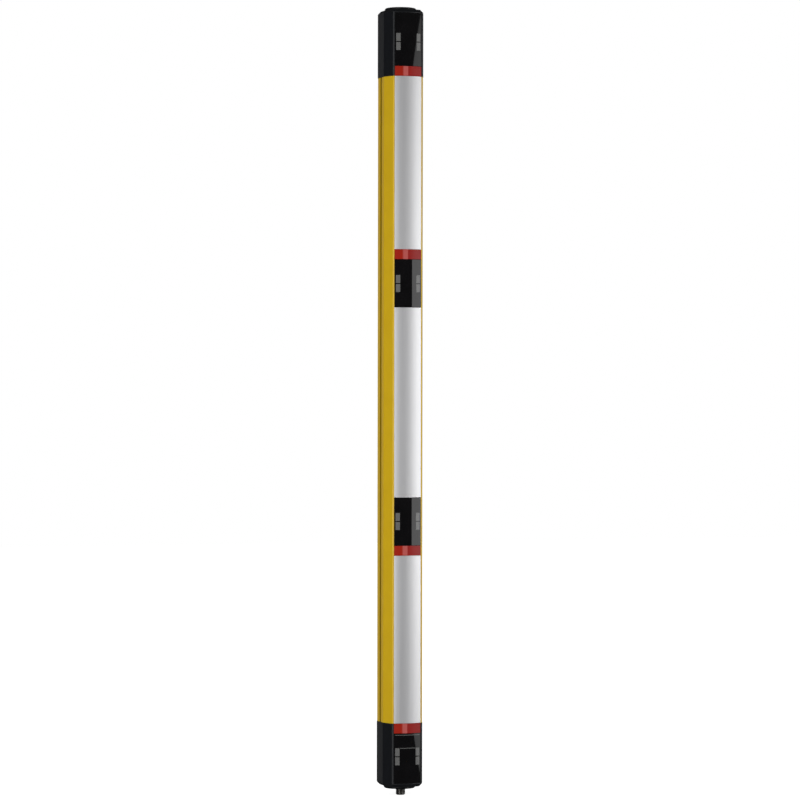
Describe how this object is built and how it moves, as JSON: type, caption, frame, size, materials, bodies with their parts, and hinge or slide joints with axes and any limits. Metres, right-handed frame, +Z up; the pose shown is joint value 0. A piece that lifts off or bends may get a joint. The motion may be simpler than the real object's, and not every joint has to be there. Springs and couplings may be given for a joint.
{
  "type": "multi-beam safety light barrier",
  "caption": "Slim upright safety light barrier: yellow extruded housing, black end caps with swivel discs, dark beam windows, red stripes, silver covers and a round plug connector.",
  "frame": {"origin": "middle of the lower swivel disc, where its straight wall ends and its rounded face starts", "axes": "+Z up along the barrier, the beams leave along -Y through the front windows, +X to the right seen from the front"},
  "size_m": [0.053, 0.0656, 0.9956],
  "materials": {
    "housing_yellow": "satin powder coat on extruded aluminium",
    "cap_black": "satin moulded plastic",
    "window_black": "polished dark acrylic",
    "stripe_red": "gloss red plastic",
    "cover_silver": "fine satin anodised",
    "gasket_rubber": "matt rubber",
    "screw_steel": "zinc plated",
    "connector_metal": "nickel plated brass",
    "contact_gold": "gold plated",
    "insert_black": "moulded plastic",
    "carrier_metal": "mill finish",
    "lens_clear": "clear polished plastic",
    "tube_black": "matt moulded plastic",
    "diode_dark": "moulded resin",
    "board_green": "solder resist",
    "ribbon_grey": "flat ribbon insulation",
    "guide_clear": "clear moulded plastic",
    "spacer_brass": "nickel free brass"
  },
  "bodies": {
    "root": {"beam_window_2": "window_black", "beam_window_3": "window_black", "board_header": "insert_black", "bottom_cap_screws": "screw_steel", "bottom_cap_window": "window_black", "bottom_end_cap": "cap_black", "bottom_gasket": "gasket_rubber", "carrier_rail": "carrier_metal", "connector_board": "board_green", "connector_contacts": "contact_gold", "connector_nut": "connector_metal", "connector_seal": "gasket_rubber", "connector_shell": "connector_metal", "contact_insert": "insert_black", "control_board": "board_green", "cover_strip_1": "cover_silver", "cover_strip_2": "cover_silver", "cover_strip_3": "cover_silver", "diode_1": "diode_dark", "diode_2": "diode_dark", "diode_3": "diode_dark", "diode_4": "diode_dark", "earth_spring": "spacer_brass", "housing_profile": "housing_yellow", "indicator_board": "board_green", "indicator_spacers": "spacer_brass", "lens_1": "lens_clear", "lens_2": "lens_clear", "lens_3": "lens_clear", "lens_4": "lens_clear", "lens_tube_1": "tube_black", "lens_tube_2": "tube_black", "lens_tube_3": "tube_black", "lens_tube_4": "tube_black", "light_guides": "guide_clear", "module_screws": "screw_steel", "optics_board_1": "board_green", "optics_board_2": "board_green", "optics_board_3": "board_green", "optics_board_4": "board_green", "red_stripe_1": "stripe_red", "red_stripe_2": "stripe_red", "red_stripe_3": "stripe_red", "red_stripe_4": "stripe_red", "ribbon_link_1": "ribbon_grey", "ribbon_link_2": "ribbon_grey", "ribbon_link_3": "ribbon_grey", "top_cap_screws": "screw_steel", "top_cap_window": "window_black", "top_end_cap": "cap_black", "top_gasket": "gasket_rubber"}
  },
  "joints": []
}
